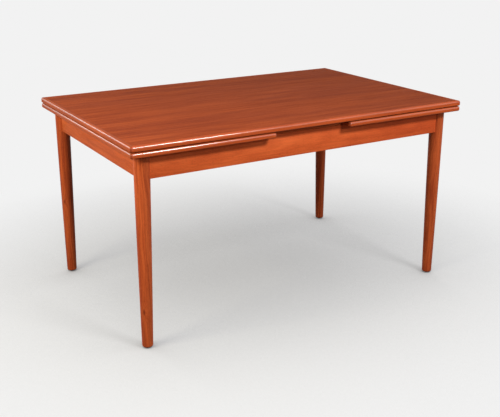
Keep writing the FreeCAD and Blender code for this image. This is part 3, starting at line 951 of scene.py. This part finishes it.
def dress_bearers(finish):
    """Straight bars whose outer part lies flat under the leaf; the inner part hangs free."""
    for name, side in (("left", -1), ("right", 1)):
        leaf = name + "_leaf"
        low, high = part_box(leaf + "_lipping_inner")
        step_x = low.x if side > 0 else high.x
        screws = screw_places(leaf + "_bearer_screws", (0, 0, 1))
        for end in ("front", "back"):
            stem = leaf + "_bearer_" + end
            low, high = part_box(stem)
            outer, inner = (low.x, high.x) if side < 0 else (high.x, low.x)
            under_step = low.z + abs(inner - step_x) * draw_slope
            under_outer = low.z + abs(inner - outer) * draw_slope
            outline = [(outer, high.z), (step_x, high.z), (step_x, under_step + bearer_depth),
                       (inner, low.z + bearer_depth), (inner, low.z), (outer, under_outer)]
            bar = sawn_mesh(stem + "_blank", [(x, low.y, z) for x, z in outline], (0, 1, 0), high.y - low.y)
            bores = [pocket(head, line) for head, line, _ in screws if low.y < head.y < high.y]
            mesh = finished_mesh(stem + "_bar", bar, bores)
            add_piece(stem + "_bar", mesh, finish, "leaf_" + name, "beech", stem)


def dress_stops(finish):
    for side in ("left", "right"):
        name = side + "_leaf_stop_pegs"
        stops = side + "_leaf_bearer_stops"
        solids = separate_solids(stops)
        low, high = solids[0]
        radius = (high.x - low.x) / 2
        section = [(0, low.z)] + turned_nose(radius, low.z, stop_nose) + [(radius, high.z), (0, high.z)]
        mesh = turned_mesh(name, section, [(a + b) / 2 for a, b in solids], sides=28)
        add_piece(name, mesh, finish, "leaf_" + side, "beech", stops)


def dress_guide_pegs(finish):
    solids = separate_solids("guide_pegs")
    low, high = solids[0]
    collar = (high.x - low.x) / 2
    collar_low, collar_high = peg_collar_heights
    eased = peg_collar_ease
    head = turned_nose(peg_radius, high.z, peg_head_nose, -1)
    section = ([(0, low.z)] + turned_nose(peg_radius, low.z, peg_foot_nose)
               + [(peg_radius, collar_low), (collar - eased, collar_low), (collar, collar_low + eased),
                  (collar, collar_high - eased), (collar - eased, collar_high), (peg_radius, collar_high)]
               + head[::-1] + [(0, high.z)])
    mesh = turned_mesh("guide_pegs_turned", section, [(a + b) / 2 for a, b in solids])
    add_piece("guide_pegs_turned", mesh, finish, "guide_pegs", "beech", "guide_pegs")


def dress_centre_board(finish):
    low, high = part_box("centre_board")
    outline = [(x, y, low.z) for x, y in rectangle(low, high)]
    up = Vector((0, 0, 1))
    plank = sawn_mesh("centre_board_blank", outline, up, high.z - low.z)
    pegs = [(a + b) / 2 for a, b in separate_solids("guide_pegs")]
    bores = [(Vector((peg.x, peg.y, low.z - socket_over)), up, peg_radius + peg_play,
              high.z - low.z + 2 * socket_over) for peg in pegs]
    bores += [pocket(head, line, screw_head_radius + countersink_play)
              for head, line, _ in screw_places("centre_board_screws", -up)]
    mesh = finished_mesh("centre_board_planed", plank, bores)
    add_piece("centre_board_planed", mesh, finish, "frame", "teak_apron", "centre_board")


def dress_corner_blocks(finish):
    screws = screw_places("corner_block_screws")
    for corner in CORNERS:
        stem = "corner_block_" + corner
        low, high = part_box(stem)
        side_x, side_y = corner_sides(corner)
        x0 = high.x if side_x > 0 else low.x
        y0 = high.y if side_y > 0 else low.y
        far = high.x - low.x
        outline = [(x0 - side_x * a, y0 - side_y * b, low.z)
                   for a, b in ((block_near, 0), (far, 0), (0, far), (0, block_near))]
        block = sawn_mesh(stem + "_blank", outline, (0, 0, 1), high.z - low.z)
        bores = [pocket(head, line, over=far) for head, line, _ in screws
                 if head.x * side_x > 0 and head.y * side_y > 0]
        mesh = finished_mesh(stem + "_sawn", block, bores)
        add_piece(stem + "_sawn", mesh, finish, "frame", "beech", stem)


# ---- screws ----
def screw_tree():
    """Slotted cheese-head screws on points; the attribute "drive" is each one's way into the wood."""
    tree, given, result = new_group(
        "slotted screws", "GeometryNodeTree",
        {"Geometry": GEOMETRY, "Head Radius": (NUMBER, screw_head_radius),
         "Head Height": (NUMBER, screw_head_height), "Rim": (NUMBER, screw_head_rim),
         "Shank Radius": (NUMBER, screw_shank_radius), "Length": NUMBER,
         "Slot Width": (NUMBER, slot_width), "Slot Depth": (NUMBER, slot_depth),
         "Sides": (COUNT, screw_sides), "Turn Seed": COUNT, "Material": MATERIAL},
        {"Geometry": GEOMETRY})
    head_rings = 3
    shank_sides = 12
    outer_face = -0.4       # of the head's height from its middle: only the outermost ring is below it
    slot_reach = 3.0        # of the head's radius, so that the slot runs right across

    def lifted(geometry, height):
        up = vector_of(tree, z=height)
        return made(tree, "GeometryNodeTransform", {"Geometry": geometry, "Translation": up})

    head = made(tree, "GeometryNodeMeshCylinder", {
        "Vertices": given["Sides"], "Side Segments": head_rings, "Radius": given["Head Radius"],
        "Depth": given["Head Height"]})
    place = made(tree, "GeometryNodeInputPosition")
    outer = calc(tree, "LESS_THAN", parts_of(tree, place)[2],
                 times(tree, given["Head Height"], outer_face))
    shrink = calc(tree, "SUBTRACT", 1.0, calc(tree, "DIVIDE", given["Rim"], given["Head Radius"]))
    inwards = stretched(tree, place, vector_of(tree, shrink, shrink, 1.0))
    head = made(tree, "GeometryNodeSetPosition", {
        "Geometry": head, "Selection": outer, "Position": inwards})
    head = lifted(head, times(tree, given["Head Height"], 0.5))
    shank = made(tree, "GeometryNodeMeshCylinder", {
        "Vertices": shank_sides, "Radius": given["Shank Radius"], "Depth": given["Length"]})
    shank = lifted(shank, times(tree, given["Length"], 0.5))
    whole = node(tree, "GeometryNodeMeshBoolean", operation="UNION")
    plug(tree, whole.inputs["Mesh 2"], head)
    plug(tree, whole.inputs["Mesh 2"], shank)
    cut_long = times(tree, given["Head Radius"], slot_reach)
    cut_tall = times(tree, given["Slot Depth"], 2.0)
    cut_size = vector_of(tree, cut_long, given["Slot Width"], cut_tall)
    cut = made(tree, "GeometryNodeMeshCube", {"Size": cut_size})
    slotted = made(tree, "GeometryNodeMeshBoolean", {"Mesh 1": whole.outputs[0], "Mesh 2": cut},
                   operation="DIFFERENCE")
    drive = made(tree, "GeometryNodeInputNamedAttribute", {"Name": "drive"}, data_type="FLOAT_VECTOR")
    facing = made(tree, "FunctionNodeAlignRotationToVector", {"Vector": drive}, axis="Z")
    turn_range = {"Max": math.pi, "Seed": given["Turn Seed"]}
    turn = node(tree, "FunctionNodeRandomValue", turn_range, data_type="FLOAT")
    spin = made(tree, "FunctionNodeAxisAngleToRotation", {
        "Axis": (0, 0, 1), "Angle": [o for o in turn.outputs if o.enabled][0]})
    facing = made(tree, "FunctionNodeRotateRotation", {"Rotation": facing, "Rotate By": spin},
                  rotation_space="LOCAL")
    points = made(tree, "GeometryNodeMeshToPoints", {"Mesh": given["Geometry"]})
    screws = made(tree, "GeometryNodeInstanceOnPoints", {
        "Points": points, "Instance": slotted, "Rotation": facing})
    return ended(tree, given, result, screws)


def dress_screws(finish):
    tree = screw_tree()
    # Body, way into the wood (None for along the screw, outwards), and seed of the slots' turns.
    sets = {"centre_board_screws": ("frame", (0, 0, -1), 3), "corner_block_screws": ("frame", None, 4),
            "left_leaf_bearer_screws": ("leaf_left", (0, 0, 1), 5),
            "right_leaf_bearer_screws": ("leaf_right", (0, 0, 1), 6)}
    for node_name, (body, way, seed) in sets.items():
        places = screw_places(node_name, way)
        seed_mesh = bpy.data.meshes.new(node_name + "_places")
        seed_mesh.from_pydata([head for head, _, _ in places], [], [])
        drive = seed_mesh.attributes.new("drive", "FLOAT_VECTOR", "POINT")
        for k, (_, line, _) in enumerate(places):
            drive.data[k].vector = line
        values = {"Length": min(length for _, _, length in places), "Turn Seed": seed, "Material": finish}
        mesh = grow(tree, node_name + "_slotted", values, seed_mesh)
        add_piece(node_name + "_slotted", smooth_below(mesh, sawn_smooth), finish, body, "steel", node_name)


# ---- felt ----
def felt_section(half, low, high):
    """(across, height) points of a strip with soft arrises."""
    soft = (high - low) * felt_softness
    steps = 3
    section = []
    for side, end, start in ((1, high, 0), (-1, high, 90), (-1, low, 180), (1, low, 270)):
        middle = end - soft if end == high else end + soft
        for step in range(steps + 1):
            turn = math.radians(start + 90 * step / steps)
            section.append((side * (half - soft) + soft * math.cos(turn), middle + soft * math.sin(turn)))
    return section


def felt_strip_mesh(name, low, high):
    """Pressed felt strip: soft arrises and a slightly uneven, hairy surface."""
    middle = (low + high) / 2
    section = felt_section((high.x - low.x) / 2, low.z, high.z)
    rows = round((high.y - low.y) / felt_row)
    other_clumps = Vector((0, 0, 9))
    form = bmesh.new()
    rings = []
    for row in range(rows + 1):
        y = low.y + (high.y - low.y) * row / rows
        ring = []
        for x, z in section:
            place = Vector((x, y, z)) * felt_clump_scale
            shrink = 1 - felt_fray * abs(mathutils.noise.noise(place))
            dip = felt_dip * abs(mathutils.noise.noise(place + other_clumps)) if z > middle.z else 0
            ring.append(form.verts.new((middle.x + x * shrink, y, z - dip)))
        rings.append(ring)
    count = len(section)
    for near, far in zip(rings, rings[1:]):
        for k in range(count):
            form.faces.new((near[k], near[(k + 1) % count], far[(k + 1) % count], far[k]))
    form.faces.new(rings[0][::-1])
    form.faces.new(rings[-1])
    return mesh_from(form, name, felt_smooth)


def dress_felts(finish):
    for stem, body, bearing in (("centre_board_felt_strips", "frame", "centre_board"),
                                ("top_felt_strips", "top", "top_panel")):
        for side, (low, high) in zip(("left", "right"), separate_solids(stem)):
            name = stem[:-1] + "_" + side
            piece = add_piece(name, felt_strip_mesh(name, low, high), finish, body, "felt", stem)


# ---- stage, lamps and camera ----
backdrop_grey = 0.888       # as light
ambient_level = 0.01        # of the world's own light on the object
ambient_colour = (1.0, 0.98, 0.96, 1)
floor_half = 30.0
floor_card = 0.95           # how pale the floor is for the camera
floor_bounce = 0.15         # how pale it is for the light that it throws back
floor_plain_share = 0.78    # share of the backdrop's even tone in the floor near the table
floor_shade_from = 0.75     # the floor turns into the backdrop between these radii
floor_shade_to = 1.7
# Reach of the painted shadow that ambient occlusion lays on the floor.
painted_floor_shadow_reach = 1.2        # how far off the table still darkens the floor

camera_place = (-1.6276, -2.7409, 1.3809)
camera_fall = 19.112        # degrees below level
camera_turn = -30.784       # degrees from looking along +Y
camera_lens = 59.34         # millimetres, on a film 36 mm wide


def seen_directly(tree):
    """1 for camera, glossy and transmission rays, 0 for the light that falls on the object."""
    path = node(tree, "ShaderNodeLightPath").outputs
    seen = calc(tree, "MAXIMUM", path["Is Camera Ray"], path["Is Glossy Ray"])
    return calc(tree, "MAXIMUM", seen, path["Is Transmission Ray"])


def floor_material():
    """White card near the table, which turns into the backdrop's even tone, with a painted shadow under the
    table. Clear from below.
    """
    material = bpy.data.materials.new("pale floor")
    tree = blank_tree(material)
    radius = length_of(tree, object_place(tree))
    away = ease(tree, radius, floor_shade_from, floor_shade_to, floor_plain_share, 1.0)
    seen = seen_directly(tree)
    grey = ease(tree, seen, 0.0, 1.0, floor_bounce, floor_card)
    lit = made(tree, "ShaderNodeBsdfDiffuse", {"Color": grey})
    # Ambient occlusion darkens the floor's glow near the table: a painted shadow of the table.
    painted_floor_shadow = node(tree, "ShaderNodeAmbientOcclusion", {"Distance": painted_floor_shadow_reach}, samples=8)
    level = ease(tree, seen, 0.0, 1.0, floor_bounce, backdrop_grey)
    level = times(tree, level, painted_floor_shadow.outputs["AO"])
    pale = made(tree, "ShaderNodeEmission", {"Color": (1, 1, 1, 1), "Strength": level})
    mixed = made(tree, "ShaderNodeMixShader", {0: away, 1: lit, 2: pale})
    clear = made(tree, "ShaderNodeBsdfTransparent")
    below = node(tree, "ShaderNodeNewGeometry").outputs["Backfacing"]
    mixed = made(tree, "ShaderNodeMixShader", {0: below, 1: mixed, 2: clear})
    plug(tree, node(tree, "ShaderNodeOutputMaterial").inputs["Surface"], mixed)
    return material


def make_floor():
    mesh = bpy.data.meshes.new("floor")
    reach = Vector((floor_half, floor_half))
    mesh.from_pydata([(x, y, 0) for x, y in rectangle(-reach, reach)], [], [(0, 1, 2, 3)])
    mesh.materials.append(floor_material())
    put_in_scene("floor", mesh)


def make_world():
    """Pale backdrop wherever it is seen directly or in a gloss, and a lower even light on the object."""
    world = bpy.data.worlds.new("studio")
    bpy.context.scene.world = world
    tree = blank_tree(world)
    grey = (backdrop_grey, backdrop_grey, backdrop_grey, 1)
    light = made(tree, "ShaderNodeBackground", {"Color": ambient_colour, "Strength": ambient_level})
    pale = made(tree, "ShaderNodeBackground", {"Color": grey, "Strength": 1.0})
    mixed = made(tree, "ShaderNodeMixShader", {0: seen_directly(tree), 1: light, 2: pale})
    plug(tree, node(tree, "ShaderNodeOutputWorld").inputs["Surface"], mixed)


def softbox(name, place, aim, size, level, colour=(1, 1, 1)):
    """Area lamp. The level is how bright it makes a white card that faces it at the aimed point."""
    lamp = bpy.data.lights.new(name, "AREA")
    lamp.shape = "RECTANGLE"
    lamp.size, lamp.size_y = size
    lamp.color = colour
    way = Vector(aim) - Vector(place)
    lamp.energy = level * math.pi ** 2 * way.length_squared
    holder = put_in_scene(name, lamp)
    holder.location = place
    holder.rotation_mode = "QUATERNION"
    holder.rotation_quaternion = way.to_track_quat("-Z", "Y")


def make_lamps():
    aprons = (0, 0, 0.65)
    knee_space = (0, 0, 0.5)
    softbox("key softbox", (1.0, -3.4, 3.1), aprons, size=(1.08, 0.5), level=0.57)
    softbox("low softbox", (0.85, -3.9, 2.1), aprons, size=(0.9, 0.4), level=0.13)
    softbox("front softbox", (-1.1, -1.9, 2.6), aprons, size=(1.1, 1.1), level=0.18)
    softbox("left softbox", (-2.6, -0.5, 1.75), aprons, size=(1.0, 1.0), level=0.73,
            colour=(1.0, 0.95, 0.79))
    softbox("rear softbox", (0.9, 3.0, 0.42), knee_space, size=(1.8, 0.4), level=0.2)
    softbox("back softbox", (-2.3, 4.2, 2.3), aprons, size=(1.8, 1.0), level=0.09)


def make_camera():
    data = bpy.data.cameras.new("camera")
    data.sensor_width = 36
    data.lens = camera_lens
    holder = put_in_scene("camera", data)
    holder.location = camera_place
    holder.rotation_euler = (math.radians(90 - camera_fall), 0, math.radians(camera_turn))
    bpy.context.scene.camera = holder
    bpy.context.scene.view_settings.view_transform = "Standard"


# ---- assembly ----
# Each panel: its body, and the names of its left and right lippings.
panels = {"top": ("top", "left", "right"), "left_leaf": ("leaf_left", "outer", "inner"),
          "right_leaf": ("leaf_right", "inner", "outer")}
for number, (stem, (body, left, right)) in enumerate(panels.items()):
    dress_edged_panel(stem, body, {"front": "front", "back": "back", "left": left, "right": right}, number)
dress_legs()
dress_aprons()

beech_along = beech("beech along the table", "x")
beech_across = beech("beech across the table", "y")
beech_upright = beech("beech upright", "z")
dress_bearers(beech_along)
dress_stops(beech_upright)
dress_guide_pegs(beech_upright)
dress_centre_board(teak("centre board teak", "centre board", "x", (3.1, 0, 0), heart=(0.2, 0.5)))
for side in ("left", "right"):
    add_eased("cross_rail_" + side, beech_across, "beech")
dress_corner_blocks(beech_upright)
dress_screws(zinc_steel("zinc steel"))
dress_glides(glide_plastic("dark glide plastic"))
dress_felts(felt("green felt"))

make_floor()
make_world()
make_lamps()
make_camera()
